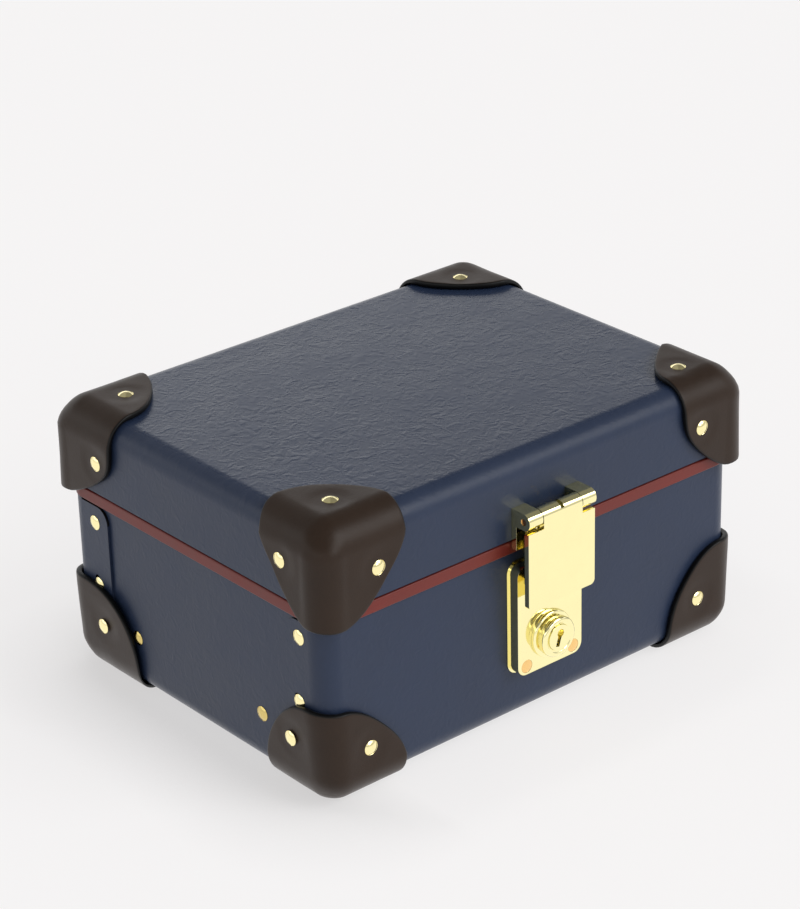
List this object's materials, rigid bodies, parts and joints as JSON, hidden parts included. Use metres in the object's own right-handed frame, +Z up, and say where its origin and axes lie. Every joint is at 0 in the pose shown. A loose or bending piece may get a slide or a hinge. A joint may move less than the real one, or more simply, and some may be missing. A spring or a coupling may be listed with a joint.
{
  "type": "jewellery case",
  "caption": "Trunk-style jewellery case of navy fibreboard with leather corners, an oxblood rim band, a hinged lid, a brass hasp lock and a lined inside with ring rolls.",
  "frame": {"origin": "on the surface that the leather feet stand on, under the middle of the whole outline", "axes": "+X along the front towards the right end, +Y from the lock to the hinges, +Z up"},
  "size_m": [0.211, 0.1706, 0.1138],
  "materials": {
    "fibreboard": "semi-matt crinkled fibreboard",
    "inner_board": "covered board",
    "band": "smooth edge binding",
    "leather": "smooth moulded leather, black dyed edges",
    "aged_brass": "domed, darker",
    "rivet_brass": "domed, polished",
    "brass": "polished",
    "bronze_pin": "drawn rod",
    "lock_works": "milled",
    "lining": "short suede cloth",
    "padding": "padded suede cloth",
    "mirror": "silvered glass"
  },
  "bodies": {
    "base": {"base_tray": "fibreboard", "front_panel": "fibreboard", "back_panel": "fibreboard", "rim_band": "band", "inner_frame": "inner_board", "base_corner_front_left": "leather", "base_corner_front_right": "leather", "base_corner_back_left": "leather", "base_corner_back_right": "leather", "base_corner_rivets": "rivet_brass", "foot_rivets": "rivet_brass", "flap_rivets": "rivet_brass", "side_rivets": "aged_brass", "lock_case": "brass", "lock_back_plate": "lock_works", "lock_cylinder": "brass", "lock_rivets": "rivet_brass", "base_hinge_leaf_left": "brass", "base_hinge_leaf_right": "brass", "hinge_pin_left": "brass", "hinge_pin_right": "brass", "base_hinge_rivets": "rivet_brass", "base_lining": "lining", "long_divider": "lining", "front_divider": "lining", "back_divider": "lining", "ring_shelf": "lining", "ring_roll_1": "padding", "ring_roll_2": "padding", "ring_roll_3": "padding", "ring_roll_4": "padding", "ring_roll_5": "padding"},
    "lid": {"lid_shell": "fibreboard", "lid_corner_front_left": "leather", "lid_corner_front_right": "leather", "lid_corner_back_left": "leather", "lid_corner_back_right": "leather", "lid_corner_rivets": "rivet_brass", "lid_hinge_leaf_left": "brass", "lid_hinge_leaf_right": "brass", "lid_hinge_rivets": "rivet_brass", "hasp_bracket": "brass", "bracket_rivets": "rivet_brass", "hasp_pin": "bronze_pin", "lid_lining": "lining", "lid_pad": "padding", "mirror_frame": "brass", "mirror_glass": "mirror"},
    "hasp": {"hasp_plate": "brass"},
    "lock_plug": {"lock_plug": "brass"},
    "lock_bolt": {"lock_bolt": "lock_works"}
  },
  "joints": [
    {"name": "lid_hinge", "type": "hinge", "parent": "base", "child": "lid", "pos_m": [0, 0.0831, 0.07165], "axis": [-1, 0, 0], "range_deg": [0, 105]},
    {"name": "hasp_pivot", "type": "hinge", "parent": "lid", "child": "hasp", "pos_m": [0.0015, -0.082, 0.08845], "axis": [-1, 0, 0], "range_deg": [0, 170]},
    {"name": "plug_turn", "type": "hinge", "parent": "base", "child": "lock_plug", "pos_m": [0.0008, -0.078, 0.03665], "axis": [0, 1, 0], "range_deg": [0, 90]},
    {"name": "bolt_slide", "type": "slide", "parent": "base", "child": "lock_bolt", "axis": [0, 0, 1], "range_m": [0, 0.0055]}
  ],
  "couplings": [
    {"joint": "bolt_slide", "follows": "plug_turn", "m_per_rad": 0.0035}
  ]
}
